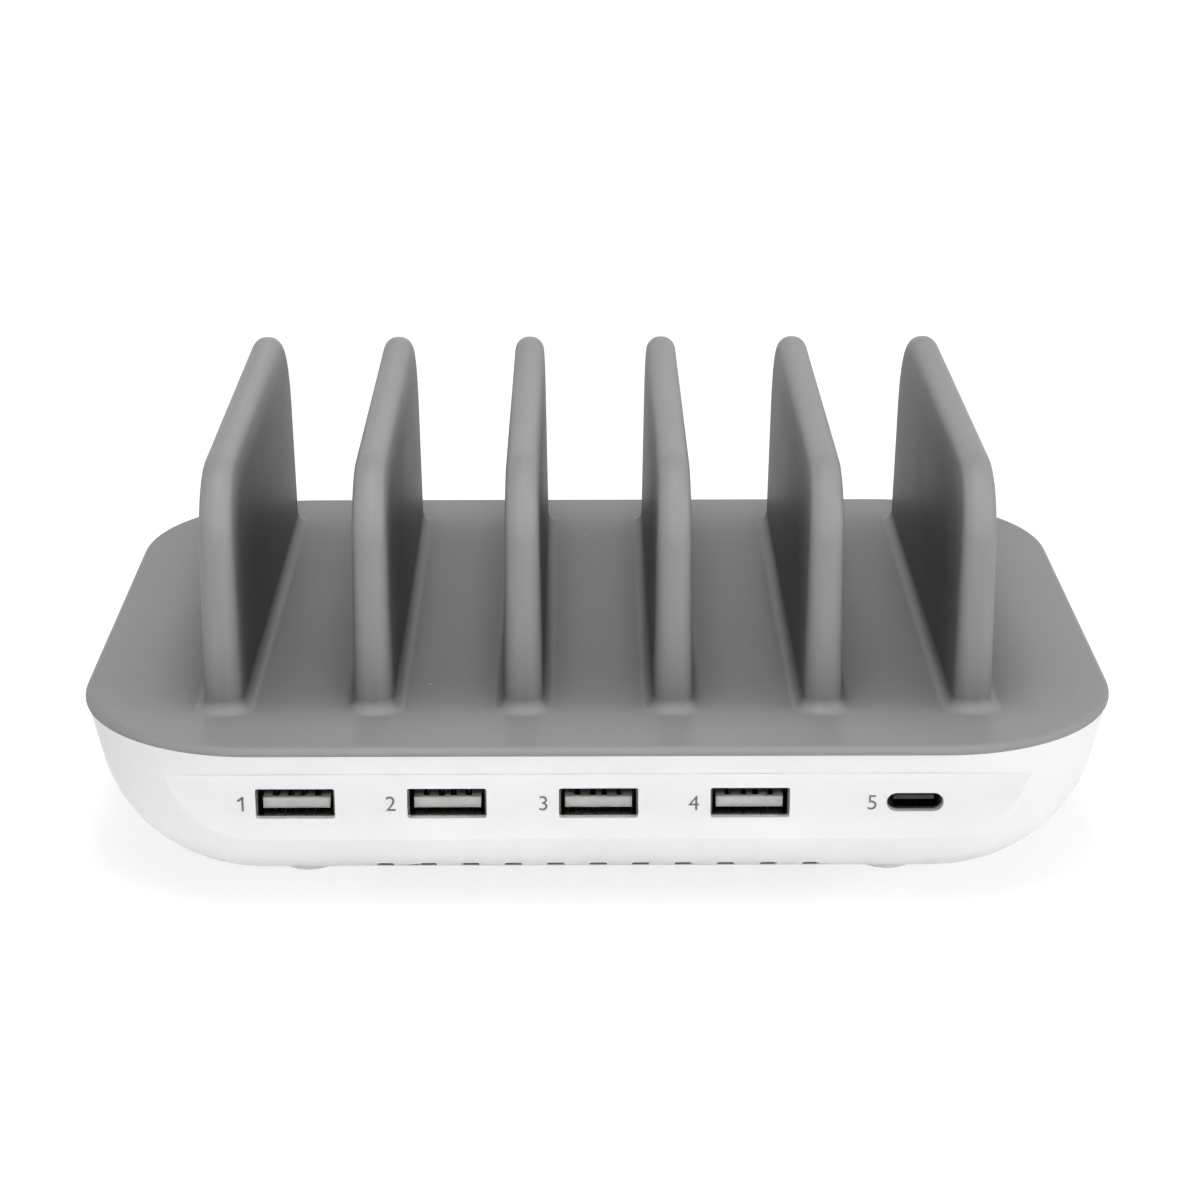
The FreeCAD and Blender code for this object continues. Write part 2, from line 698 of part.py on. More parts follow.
def inlet_body():
    """Two-pole mains inlet: a block behind the wall and a nose through it, with a figure-of-eight mouth."""
    back_y = inlet_y - wall_thickness
    nose = rectangle(inlet_nose_width, inlet_nose_height, inlet_nose_height / 2)
    block_z = (board_bottom_z - inlet_body_height, board_bottom_z)
    body = box(span(0, inlet_body_width), (back_y - inlet_body_depth, back_y), block_z)
    body = body.fuse(facing(nose, 0, inlet_z, (back_y, inlet_y)))
    mouth_y = inlet_y - inlet_mouth_depth
    cuts = [box(span(0, inlet_pin_pitch), (mouth_y, inlet_y), span(inlet_z, inlet_waist_height))]
    for side in (-1, 1):
        x = side * inlet_pin_pitch / 2
        cuts.append(lying_bar(inlet_mouth_diameter, x, inlet_z, (mouth_y, inlet_y)))
        pin_hole = inlet_pin_diameter + 2 * pin_clearance
        cuts.append(lying_bar(pin_hole, x, inlet_z, (back_y - inlet_body_depth, back_y)))
    return body.cut(cuts).removeSplitter()


def on_board(place_shares):
    """Point of the plan at shares of the board's width and depth from its centre."""
    return (place_shares[0] * board_width, board_center_y + place_shares[1] * board_depth)


def hung_box(point, size):
    """Box of x, y and z sizes that hangs under the board."""
    return box(span(point[0], size[0]), span(point[1], size[1]), (board_bottom_z - size[2], board_bottom_z))


def can_capacitor(point, diameter, height):
    """Electrolytic can with a rolled groove near the board, turned about its axis."""
    radius = diameter / 2
    groove_z = board_bottom_z - can_groove_height
    outline = [
        (0, board_bottom_z - height), (radius, board_bottom_z - height),
        (radius, groove_z - can_groove_depth), (radius - can_groove_depth, groove_z),
        (radius, groove_z + can_groove_depth), (radius, board_bottom_z), (0, board_bottom_z),
    ]
    corners = [Vec(x, 0, z) for x, z in outline]
    half = Part.Face(Part.makePolygon(corners + corners[:1]))
    return half.revolve(ORIGIN, UP, 360).translated(Vec(*point, 0))


def hung_disc(point, diameter):
    """Coated disc that stands on edge under the board, with its axis along X."""
    start = Vec(point[0] - disc_thickness / 2, point[1], board_bottom_z - diameter / 2)
    return Part.makeCylinder(diameter / 2, disc_thickness, start, ALONG_X)


def transformer():
    """Core, bobbin and winding of the transformer."""
    x, y = on_board(transformer_place_shares)
    flange_height = board_room - transformer_floor_gap
    winding_height = flange_height - 2 * winding_inset
    core_thickness = winding_height - 2 * winding_build
    z = board_bottom_z - flange_height / 2
    window_depth = core_depth / 2 - 2 * core_leg
    core = box(span(x, core_length), span(y, core_depth), span(z, core_thickness))
    for side in (-1, 1):
        window_y = span(y + side * (core_leg + window_depth / 2), window_depth)
        core = core.cut(box(span(x, core_window_length), window_y, span(z, core_thickness)))
    tube_y = 2 * (core_leg + fit_clearance + bobbin_wall)
    tube_z = core_thickness + 2 * (fit_clearance + bobbin_wall)
    flange_y = 2 * (core_leg + window_depth - fit_clearance)
    tube_x = core_window_length - 2 * fit_clearance
    tube = box(span(x, tube_x), span(y, tube_y), span(z, tube_z))
    bobbin = tube
    for side in (-1, 1):
        flange_x = span(x + side * (tube_x - bobbin_wall) / 2, bobbin_wall)
        bobbin = bobbin.fuse(box(flange_x, span(y, flange_y), span(z, flange_height)))
    leg_hole = box(span(x, tube_x), span(y, tube_y - 2 * bobbin_wall), span(z, tube_z - 2 * bobbin_wall))
    bobbin = bobbin.cut(leg_hole).removeSplitter()
    winding = box(span(x, tube_x - 2 * bobbin_wall), span(y, flange_y), span(z, winding_height))
    long_edges = [edge for edge in winding.Edges if edge.BoundBox.XLength > tube_x / 2]
    winding = winding.makeFillet(min(winding_edge_radius, (flange_y - tube_y) / 2), long_edges).cut(tube)
    return core, bobbin, winding


def heatsink(place_shares, side):
    """Folded plate whose flange turns away from its transistor, which is on the given side."""
    x, y = on_board(place_shares)
    low_z = board_bottom_z - heatsink_height
    plate = box(span(x, heatsink_thickness), span(y, heatsink_length), (low_z, board_bottom_z))
    flange_x = sorted((x, x - side * (heatsink_thickness / 2 + heatsink_flange)))
    flange = box(flange_x, span(y, heatsink_length), (low_z, low_z + heatsink_thickness))
    return plate.fuse(flange).removeSplitter()


def transistor(place_shares, side):
    """Power package flat on a heatsink's side, on three leads."""
    x, y = on_board(place_shares)
    face_x = x + side * heatsink_thickness / 2
    body_x = sorted((face_x, face_x + side * transistor_thickness))
    body_top = board_bottom_z - transistor_lead_length
    body_low = board_bottom_z - heatsink_height + transistor_margin
    body = box(body_x, span(y, transistor_width), (body_low, body_top))
    for i in (-1, 0, 1):
        lead = box(span(sum(body_x) / 2, transistor_lead_thickness),
                   span(y + i * transistor_lead_pitch, transistor_lead_width), (body_top, board_bottom_z))
        body = body.fuse(lead)
    return body


def filter_choke():
    """Ring core under the board and the two windings on it."""
    x, y = on_board(choke_place_shares)
    top_z = board_bottom_z - choke_winding_thickness
    low_z = top_z - choke_height
    core = bar(choke_outer_diameter, (x, y), (low_z, top_z))
    core = core.cut(bar(choke_inner_diameter, (x, y), (low_z, top_z)))
    wide = choke_outer_diameter + 2 * choke_winding_thickness
    narrow = choke_inner_diameter - 2 * choke_winding_thickness
    tall = (low_z - choke_winding_thickness, board_bottom_z)
    windings = []
    for side in (0, 1):
        sector = Part.makeCylinder(wide / 2, tall[1] - tall[0], Vec(x, y, tall[0]), UP, choke_winding_angle)
        sector.rotate(Vec(x, y, 0), UP, 180 * side - choke_winding_angle / 2)
        windings.append(sector.cut([bar(narrow, (x, y), tall), core]))
    return core, windings


def power_inductor():
    """Drum inductor: two flanges and a narrower winding."""
    point = on_board(inductor_place_shares)
    low_z = board_bottom_z - inductor_height
    body = bar(inductor_diameter - 2 * inductor_waist_depth, point, (low_z, board_bottom_z))
    for z in (low_z, board_bottom_z - inductor_flange):
        body = body.fuse(bar(inductor_diameter, point, (z, z + inductor_flange)))
    return body.removeSplitter()


def mains_fuse():
    """Fuse tube that lies along Y under the board."""
    x, y = on_board(fuse_place_shares)
    return lying_bar(fuse_diameter, x, board_bottom_z - fuse_diameter / 2, span(y, fuse_length))


def output_capacitors():
    """Row of output cans along Y."""
    x, y = on_board(output_capacitor_place_shares)
    size = (output_capacitor_diameter, board_room - output_capacitor_floor_gap)
    offsets = row(output_capacitor_count, output_capacitor_pitch)
    return [can_capacitor((x, y + offset), *size) for offset in offsets]


def port_electronics():
    """Controller chips between the ports and a small can behind each USB-A port."""
    chip_y = on_board((0, port_controller_depth_share))[1]
    can_y = case_screw_y + case_post_diameter / 2 + port_capacitor_gap + port_capacitor_diameter / 2
    pairs = zip(usb_a_places[0::2], usb_a_places[1::2])
    chips = [hung_box(((left + right) / 2, chip_y), chip_size) for left, right in pairs]
    type_c_chip = hung_box(((usb_a_places[-1] + usb_c_x) / 2, chip_y), chip_size)
    cans = [can_capacitor((x, can_y), port_capacitor_diameter, port_capacitor_height) for x in usb_a_places]
    return chips, type_c_chip, cans


def nodes():
    """Every sub-part by name: a solid, or a list of separate solids."""
    parts = {"lower_housing": lower_housing(), "divider_tray": divider_tray()}
    feet = ("foot_front_left", "foot_front_right", "foot_rear_left", "foot_rear_right")
    for name, point in zip(feet, case_screw_points):
        parts[name] = foot(point)
    parts["case_screws"] = case_screws()
    parts["board_screws"] = board_screws()
    parts["main_board"] = main_board()
    for number, x in enumerate(usb_a_places, start=1):
        parts[f"usb_a_shell_{number}"] = usb_a_shell(x)
        parts[f"usb_a_insulator_{number}"] = usb_a_insulator(x)
        parts[f"usb_a_contacts_{number}"] = usb_a_contacts(x)
    parts["usb_c_shell"] = usb_c_shell()
    parts["usb_c_insulator"] = usb_c_insulator()
    parts["usb_c_contacts"] = usb_c_contacts()
    parts["inlet_body"] = inlet_body()
    parts["inlet_pins"] = inlet_pins()
    parts["transformer_core"], parts["transformer_bobbin"], parts["transformer_winding"] = transformer()
    for number, shares in enumerate(bulk_capacitor_place_shares, start=1):
        height = board_room - bulk_capacitor_floor_gap
        can = can_capacitor(on_board(shares), bulk_capacitor_diameter, height)
        parts[f"bulk_capacitor_{number}"] = can
    parts["primary_heatsink"] = heatsink(primary_heatsink_place_shares, -1)
    parts["switching_transistor"] = transistor(primary_heatsink_place_shares, -1)
    parts["secondary_heatsink"] = heatsink(secondary_heatsink_place_shares, 1)
    parts["output_rectifier"] = transistor(secondary_heatsink_place_shares, 1)
    parts["output_capacitors"] = output_capacitors()
    parts["filter_choke_core"], parts["filter_choke_windings"] = filter_choke()
    film_size = (x_capacitor_width, x_capacitor_depth, board_room - x_capacitor_floor_gap)
    parts["x_capacitor"] = hung_box(on_board(x_capacitor_place_shares), film_size)
    bridge_size = (bridge_width, bridge_depth, board_room - bridge_floor_gap)
    parts["bridge_rectifier"] = hung_box(on_board(bridge_place_shares), bridge_size)
    parts["mains_fuse"] = mains_fuse()
    parts["varistor"] = hung_disc(on_board(varistor_place_shares), varistor_diameter)
    parts["y_capacitor"] = hung_disc(on_board(y_capacitor_place_shares), y_capacitor_diameter)
    parts["power_inductor"] = power_inductor()
    parts["optocoupler"] = hung_box(on_board(optocoupler_place_shares), optocoupler_size)
    parts["controller_chip"] = hung_box(on_board(controller_place_shares), chip_size)
    parts["port_controllers"], parts["type_c_controller"], parts["port_capacitors"] = port_electronics()
    return parts


os.makedirs("parts", exist_ok=True)
for node_name, shape in nodes().items():
    solids = Part.makeCompound(shape) if isinstance(shape, list) else shape
    solids.exportStep(f"parts/{node_name}.step")
    print(node_name, len(solids.Solids), round(solids.Volume), solids.isValid())
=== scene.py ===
"""Finishes, port numbers and studio of a desktop charging station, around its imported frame."""
import math

import bmesh
import bpy
from mathutils import Matrix, Vector


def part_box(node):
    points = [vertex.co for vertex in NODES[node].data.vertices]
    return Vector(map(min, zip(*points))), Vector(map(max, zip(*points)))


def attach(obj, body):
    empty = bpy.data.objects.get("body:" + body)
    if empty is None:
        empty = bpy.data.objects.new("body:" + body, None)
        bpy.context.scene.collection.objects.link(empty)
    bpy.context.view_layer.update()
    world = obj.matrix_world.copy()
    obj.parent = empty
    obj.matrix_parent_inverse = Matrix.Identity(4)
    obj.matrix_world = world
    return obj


bl_info = {
    "name": "Charging Station Organizer",
    "version": (1, 0, 0),
    "blender": (4, 5, 0),
    "location": "3D View > Sidebar > Organizer",
    "description": "Dresses the charging station's pieces and sets them on a studio floor",
    "category": "Object",
}

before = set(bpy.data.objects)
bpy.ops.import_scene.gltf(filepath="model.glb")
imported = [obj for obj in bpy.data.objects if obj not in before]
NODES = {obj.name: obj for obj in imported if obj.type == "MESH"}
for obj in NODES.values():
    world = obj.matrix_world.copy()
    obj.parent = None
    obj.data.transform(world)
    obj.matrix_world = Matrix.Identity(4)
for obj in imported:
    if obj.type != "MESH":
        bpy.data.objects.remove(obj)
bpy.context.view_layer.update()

# Blender's own names and socket numbers
SHADER = "Principled BSDF"
MIX_FACTOR = 0
MIX_COLOURS = (6, 7)
MIX_RESULT = 2
UNIT_RANGE = (0.0, 1.0)
WHITE = (1.0, 1.0, 1.0, 1.0)

# Ports and their printed numbers, with the flag of the 1 in shares of its height and stroke
USB_A_NUMBERS = (1, 2, 3, 4)
PANEL_FRONT_Y = -0.060
TONGUE_EDGE = 0.0001
PORT_STREAKS = {"along_x": 2500.0, "along_y": 60.0, "along_z": 2500.0}
MERGE_DISTANCE = 1e-7
FLAG_SLOPE = math.radians(35)
FLAG_LENGTH = 0.42
FLAG_LAP = 0.4

# Textures and masks of the shared effects
GRAIN_NOISE = {"detail": 2.0, "roughness": 0.6}
CLOUD_NOISE = {"detail": 4.0, "roughness": 0.55}
CLOUD_RANGE = (0.3, 0.7)
UPWARD_RANGE = (0.5, 0.9)
EDGE_RAYS = 4
EDGE_RANGE = (0.99, 0.85)
STREAK_DETAIL = 3.0
STREAK_RANGE = (0.35, 0.65)

# Relief, gloss and tone of the finishes, and the painted shade deep in the tray's slots
EDGE_POLISH = -0.1
MOULD_DEPTH = 0.00003
SHEET_RELIEF = {"depth": 0.000004, "strength": 0.3}
TURN_RELIEF = {"depth": 0.00012, "strength": 0.8}
TURN_COAT = 0.4
UNDER_SKIN_TINT = (1.0, 0.95, 0.85)
PAINTED_SHADE_RANGE = (0.25, 0.9)
PAINTED_SHADE_RAYS = 32
DUST = {"spacing": 0.0055, "speck": 0.035}

# Circuit board: coat, gloss and the pattern of its tracks
BOARD_COAT = 0.3
BOARD_ROUGH = (0.28, 0.42)
BOARD_SURFACE = {"grain": 0.0006, "cloud": 0.01}
TRACK_RELIEF = {"depth": 0.00003, "strength": 0.4}
TRACKS = {
    "offset": 0.37, "scale": 180.0, "mortar_size": 0.045, "color1": (0.018, 0.105, 0.040, 1.0),
    "color2": (0.022, 0.125, 0.050, 1.0), "mortar": (0.05, 0.21, 0.09, 1.0),
}

# Floor, camera and softboxes, each with its place, its size and whether reflections show it
FLOOR_HALF = 6.0
FLOOR_ROUGHNESS = 0.9
# Painted shadow: the floor's lift for the camera is lowered near the housing and cut under it
FLOOR_SHADE = {"samples": 8, "distance": 0.08}
FLOOR_SHADE_RANGE = (0.4, 1.0)
FLOOR_FADE = (0.25, 1.1)
FOOTPRINT_HALF = {"X": 0.042, "Y": 0.0407}
FOOTPRINT_EDGE = 0.0005
SENSOR_WIDTH = 36.0
CLIP_START = 0.01
LIGHT_LIMIT = 200.0
LIGHT_AIM = (0.0, 0.0, 0.03)
SOFTBOXES = {
    "front": ((0.0, -1.35, 0.50), (0.45, 0.40), True),
    "left": ((-1.4, -0.3, 0.38), (0.60, 0.30), True),
    "right": ((1.4, -0.3, 0.38), (0.60, 0.30), True),
    "back": ((0.0, 1.3, 0.24), (0.90, 0.30), False),
    "sheen": ((0.0, 1.35, 0.66), (0.40, 0.30), True),
    "top": ((0.0, -0.2, 0.66), (0.22, 0.35), True),
}


def colour_property(label, description, default):
    """Colour that a user can change."""
    return bpy.props.FloatVectorProperty(name=label, description=description, default=default, size=3,
                                         subtype="COLOR", min=0.0, max=1.0)


def length_property(label, description, default):
    """Length that a user can change, in metres."""
    return bpy.props.FloatProperty(name=label, description=description, default=default, min=0.0,
                                   precision=5, unit="LENGTH")


def share_property(label, description, default):
    """Share from 0 to 1 that a user can change."""
    return bpy.props.FloatProperty(name=label, description=description, default=default, min=0.0, max=1.0)


def power_property(label, description, default):
    """Power of a lamp that a user can change, in watts."""
    return bpy.props.FloatProperty(name=label, description=description, default=default, min=0.0,
                                   max=LIGHT_LIMIT, unit="POWER")


def place_property(label, description, default):
    """Point that a user can change, in metres."""
    return bpy.props.FloatVectorProperty(name=label, description=description, default=default, size=3,
                                         subtype="XYZ")


class CaseFinish(bpy.types.PropertyGroup):
    """Finish of the two mouldings and of the feet."""
    white: colour_property("White", "Colour of the lower housing", (0.84, 0.84, 0.85))
    white_shade: colour_property("White shade", "Darker tone of the housing's mottle", (0.80, 0.80, 0.812))
    grey: colour_property("Grey", "Colour of the divider tray", (0.262, 0.266, 0.264))
    grey_shade: colour_property("Grey shade", "Darker tone of the tray's mottle", (0.256, 0.260, 0.258))
    dust: colour_property("Dust", "Colour of the dust on the tray", (0.55, 0.55, 0.54))
    foot: colour_property("Foot", "Colour of the rubber feet", (0.88, 0.88, 0.875))
    foot_shade: colour_property("Foot shade", "Darker tone of the feet", (0.80, 0.80, 0.79))
    tray_specular: share_property("Tray specular", "Strength of the tray's mirror reflection", 0.12)
    # Painted shade: darker grey deep in the tray's slots, where the tray closes in
    recess: share_property("Recess", "Share of the grey that is left deep in the slots", 0.36)
    recess_reach: length_property("Recess reach", "Reach of the darker tone in the slots", 0.03)
    grain: length_property("Grain", "Size of the mould's fine texture", 0.00035)
    cloud: length_property("Cloud", "Size of the slow change of tone", 0.018)


class PortFinish(bpy.types.PropertyGroup):
    """Finish of the ports and their numbers."""
    # The shells and contacts have dark colours: painted shade for the dark inside the port mouths
    shell: colour_property("Shell", "Plated sheet of the port shells, painted dark as shade", (0.18, 0.165, 0.145))
    shell_shade: colour_property("Shell shade", "Darker streaks of the shells", (0.12, 0.108, 0.092))
    dark_shell: colour_property("Dark shell", "Plated sheet of the USB-C shell, painted black as shade", (0.030, 0.029, 0.028))
    dark_shell_shade: colour_property("Dark shell shade", "Darker streaks of the USB-C shell",
                                      (0.020, 0.019, 0.018))
    tongue: colour_property("Tongue", "Moulded tongue of the USB-A ports", (0.76, 0.755, 0.735))
    tongue_shade: colour_property("Tongue shade", "Darker tone of the tongue", (0.66, 0.65, 0.62))
    # Painted shade: the tongue darkens inside the mouth
    tongue_deep: colour_property("Tongue deep", "Painted shade of the tongue inside the mouth", (0.10, 0.096, 0.088))
    tongue_fade: length_property("Tongue fade", "Depth over which shade is painted on the tongue", 0.0022)
    contact: colour_property("Contact", "Plated contacts, painted dark as shade", (0.20, 0.14, 0.07))
    contact_shade: colour_property("Contact shade", "Rubbed places of the contacts", (0.30, 0.22, 0.11))
    ink: colour_property("Ink", "Printed port numbers", (0.115, 0.115, 0.122))
    ink_shade: colour_property("Ink shade", "Thin places of the print", (0.19, 0.19, 0.20))
    number_height: length_property("Number height", "Height of the port numbers", 0.0026)
    number_gap: length_property("Number gap", "Gap from a number to its port", 0.0019)
    ink_thickness: length_property("Ink thickness", "Thickness of the print", 0.00003)


class StudioSettings(bpy.types.PropertyGroup):
    """Floor, lights and camera."""
    floor: colour_property("Floor", "Colour of the floor for the light that it throws back",
                           (0.88, 0.88, 0.88))
    floor_seen: colour_property("Floor seen", "Colour of the floor for the camera", (0.22, 0.22, 0.22))
    floor_lift: share_property("Floor lift", "Light that the floor adds for the camera alone", 0.93)
    floor_lift_far: share_property("Floor lift far", "The same light far from the object", 1.0)
    # Painted shadow near the object and painted shade under it
    floor_lift_near: share_property("Floor lift near", "The same light close to the object", 0.80)
    floor_lift_below: share_property("Floor lift below", "The same light under the object", 0.05)
    ambient: share_property("Ambient", "Even light from all around", 0.0)
    front_power: power_property("Front light", "Power of the front softbox", 8.9)
    left_power: power_property("Left light", "Power of the left softbox", 3.0)
    right_power: power_property("Right light", "Power of the right softbox", 8.5)
    back_power: power_property("Back light", "Power of the back softbox", 6.5)
    sheen_power: power_property("Sheen light", "Power of the sheen softbox", 0.5)
    top_power: power_property("Top light", "Power of the top softbox", 3.1)
    lens: bpy.props.FloatProperty(name="Lens", description="Focal length in millimetres", default=85.44,
                                  min=1.0, unit="CAMERA")
    camera_place: place_property("Camera", "Place of the camera", (-0.002775, -0.48955, 0.21216))
    camera_aim: place_property("Aim", "Point that the camera looks at", (0.000643, -0.000004, 0.03398))


def feed(tree, slot, value):
    """Links a socket to another, or sets its value."""
    if isinstance(value, bpy.types.NodeSocket):
        tree.links.new(value, slot)
    else:
        slot.default_value = value


def node(tree, kind, **values):
    """New shader node with values or links on its sockets, or settings on itself."""
    made = tree.nodes.new(kind)
    for name, value in values.items():
        label = name.replace("_", " ").title()
        if label in made.inputs:
            feed(tree, made.inputs[label], value)
        else:
            setattr(made, name, value)
    return made


def math_node(tree, kind, operation, values):
    """Math node whose sockets take the values in their order."""
    made = node(tree, kind, operation=operation)
    for slot, value in zip(made.inputs, values):
        feed(tree, slot, value)
    return made


def calculate(tree, operation, *values):
    """Number worked out from numbers and sockets."""
    return math_node(tree, "ShaderNodeMath", operation, values).outputs["Value"]


def calculate_vectors(tree, operation, *values):
    """Node that works with vectors."""
    return math_node(tree, "ShaderNodeVectorMath", operation, values)


def spread(tree, value, source=UNIT_RANGE, target=UNIT_RANGE):
    """Number that runs over the target range while a value runs over the source range."""
    made = node(tree, "ShaderNodeMapRange", value=value, from_min=source[0], from_max=source[1],
                to_min=target[0], to_max=target[1])
    return made.outputs["Result"]


def one_over(tree, size):
    """Texture scale for a size in metres."""
    return calculate(tree, "DIVIDE", 1.0, size)


def mix_colours(tree, factor, first, second):
    """Colour between two, each a colour or a socket."""
    mix = node(tree, "ShaderNodeMix", data_type="RGBA")
    feed(tree, mix.inputs[MIX_FACTOR], factor)
    for slot, value in zip(MIX_COLOURS, (first, second)):
        colour = value if isinstance(value, bpy.types.NodeSocket) else (*value, 1.0)
        feed(tree, mix.inputs[slot], colour)
    return mix.outputs[MIX_RESULT]


def object_coordinates(tree):
    """Place on the piece, in metres."""
    return node(tree, "ShaderNodeTexCoord").outputs["Object"]


def start_group(name, inputs, outputs):
    """Empty shader node group with named number sockets."""
    tree = bpy.data.node_groups.new(name, "ShaderNodeTree")
    for label, default in inputs:
        socket = tree.interface.new_socket(label, in_out="INPUT", socket_type="NodeSocketFloat")
        socket.default_value = default
    for label in outputs:
        tree.interface.new_socket(label, in_out="OUTPUT", socket_type="NodeSocketFloat")
    return tree, node(tree, "NodeGroupInput"), node(tree, "NodeGroupOutput")


def mould_grain_group():
    """Fine relief of a textured mould, and a slow change of tone."""
    inputs = [("Grain", 0.0004), ("Cloud", 0.02)]
    tree, given, made = start_group("mould_grain", inputs, ["Relief", "Clouds"])
    place = object_coordinates(tree)
    fine = node(tree, "ShaderNodeTexNoise", vector=place, scale=one_over(tree, given.outputs["Grain"]),
                **GRAIN_NOISE)
    slow = node(tree, "ShaderNodeTexNoise", vector=place, scale=one_over(tree, given.outputs["Cloud"]),
                **CLOUD_NOISE)
    feed(tree, made.inputs["Relief"], fine.outputs["Fac"])
    feed(tree, made.inputs["Clouds"], spread(tree, slow.outputs["Fac"], CLOUD_RANGE))
    return tree


def settled_dust_group():
    """Sparse specks on the faces that look up."""
    tree, given, made = start_group("settled_dust", [("Spacing", 0.004), ("Speck", 0.06)], ["Dust"])
    cells = node(tree, "ShaderNodeTexVoronoi", vector=object_coordinates(tree),
                 scale=one_over(tree, given.outputs["Spacing"]), randomness=1.0)
    chance = node(tree, "ShaderNodeSeparateColor", color=cells.outputs["Color"])
    size = calculate(tree, "MULTIPLY", chance.outputs["Red"], given.outputs["Speck"])
    speck = calculate(tree, "LESS_THAN", cells.outputs["Distance"], size)
    surface = node(tree, "ShaderNodeNewGeometry")
    facing = node(tree, "ShaderNodeSeparateXYZ", vector=surface.outputs["Normal"])
    upward = spread(tree, facing.outputs["Z"], UPWARD_RANGE)
    feed(tree, made.inputs["Dust"], calculate(tree, "MULTIPLY", speck, upward))
    return tree


def rubbed_edges_group():
    """Mask of the edges, where handling polishes a surface."""
    tree, given, made = start_group("rubbed_edges", [("Radius", 0.0004)], ["Edges"])
    rounded = node(tree, "ShaderNodeBevel", samples=EDGE_RAYS, radius=given.outputs["Radius"])
    surface = node(tree, "ShaderNodeNewGeometry")
    likeness = calculate_vectors(tree, "DOT_PRODUCT", rounded.outputs["Normal"], surface.outputs["Normal"])
    feed(tree, made.inputs["Edges"], spread(tree, likeness.outputs["Value"], EDGE_RANGE))
    return tree


def drawn_streaks_group():
    """Streaks along one direction, as on rolled sheet, wound tape or wire."""
    inputs = [("Along X", 40.0), ("Along Y", 40.0), ("Along Z", 2000.0)]
    tree, given, made = start_group("drawn_streaks", inputs, ["Streaks"])
    scales = node(tree, "ShaderNodeCombineXYZ", x=given.outputs["Along X"], y=given.outputs["Along Y"],
                  z=given.outputs["Along Z"])
    stretched = calculate_vectors(tree, "MULTIPLY", object_coordinates(tree), scales.outputs["Vector"])
    texture = node(tree, "ShaderNodeTexNoise", vector=stretched.outputs["Vector"], scale=1.0,
                   detail=STREAK_DETAIL)
    feed(tree, made.inputs["Streaks"], spread(tree, texture.outputs["Fac"], STREAK_RANGE))
    return tree


def use_group(tree, builder, **values):
    """One use of a shared effect with its own values. The effect is built on its first use."""
    name = builder.__name__.removesuffix("_group")
    group = bpy.data.node_groups.get(name) or builder()
    return node(tree, "ShaderNodeGroup", node_tree=group, **values)


def start_material(name, metallic=0.0, coat=0.0):
    """New material, its nodes and its shader."""
    made = bpy.data.materials.new(name)
    made.use_nodes = True
    shader = made.node_tree.nodes[SHADER]
    shader.inputs["Metallic"].default_value = metallic
    shader.inputs["Coat Weight"].default_value = coat
    return made, made.node_tree, shader


def add_relief(tree, shader, height, depth, strength):
    """Bump on the shader's normal."""
    bump = node(tree, "ShaderNodeBump", strength=strength, distance=depth, height=height)
    feed(tree, shader.inputs["Normal"], bump.outputs["Normal"])


def moulded(name, tone, shade, rough, grain, cloud, strength=0.35):
    """Moulded plastic or rubber: two close tones, uneven gloss and the mould's texture."""
    made, tree, shader = start_material(name)
    surface = use_group(tree, mould_grain_group, grain=grain, cloud=cloud)
    clouds = surface.outputs["Clouds"]
    edges = use_group(tree, rubbed_edges_group).outputs["Edges"]
    uneven = spread(tree, clouds, target=rough)
    feed(tree, shader.inputs["Base Color"], mix_colours(tree, clouds, tone, shade))
    feed(tree, shader.inputs["Roughness"], calculate(tree, "MULTIPLY_ADD", edges, EDGE_POLISH, uneven))
    add_relief(tree, shader, surface.outputs["Relief"], MOULD_DEPTH, strength)
    return made


def streaked(name, tone, shade, rough, streaks, relief, metallic=0.0, coat=0.0):
    """Surface with streaks of two tones along one direction."""
    made, tree, shader = start_material(name, metallic, coat)
    lines = use_group(tree, drawn_streaks_group, **streaks).outputs["Streaks"]
    feed(tree, shader.inputs["Base Color"], mix_colours(tree, lines, tone, shade))
    feed(tree, shader.inputs["Roughness"], spread(tree, lines, target=rough))
    add_relief(tree, shader, lines, **relief)
    return made


def sheet_metal(name, tone, shade, rough, streaks):
    """Plated or rolled metal with fine streaks along its drawing direction."""
    return streaked(name, tone, shade, rough, streaks, SHEET_RELIEF, metallic=1.0)


def wound(name, tone, shade, rough, streaks, metallic=0.0):
    """Tape or wire laid in turns."""
    return streaked(name, tone, shade, rough, streaks, TURN_RELIEF, metallic, TURN_COAT)


def let_light_in(finish, weight, depth):
    """Lets light run some way under a pale surface."""
    shader = finish.node_tree.nodes[SHADER]
    shader.inputs["Subsurface Weight"].default_value = weight
    shader.inputs["Subsurface Radius"].default_value = UNDER_SKIN_TINT
    shader.inputs["Subsurface Scale"].default_value = depth


def dull_inward(finish, tone, front, depth):
    """Paints shade on a port's moulding, darker from its front face inward."""
    tree = finish.node_tree
    colour = tree.nodes[SHADER].inputs["Base Color"]
    place = node(tree, "ShaderNodeSeparateXYZ", vector=object_coordinates(tree))
    inward = spread(tree, place.outputs["Y"], (front, front + depth))
    feed(tree, colour, mix_colours(tree, inward, colour.links[0].from_socket, tone))


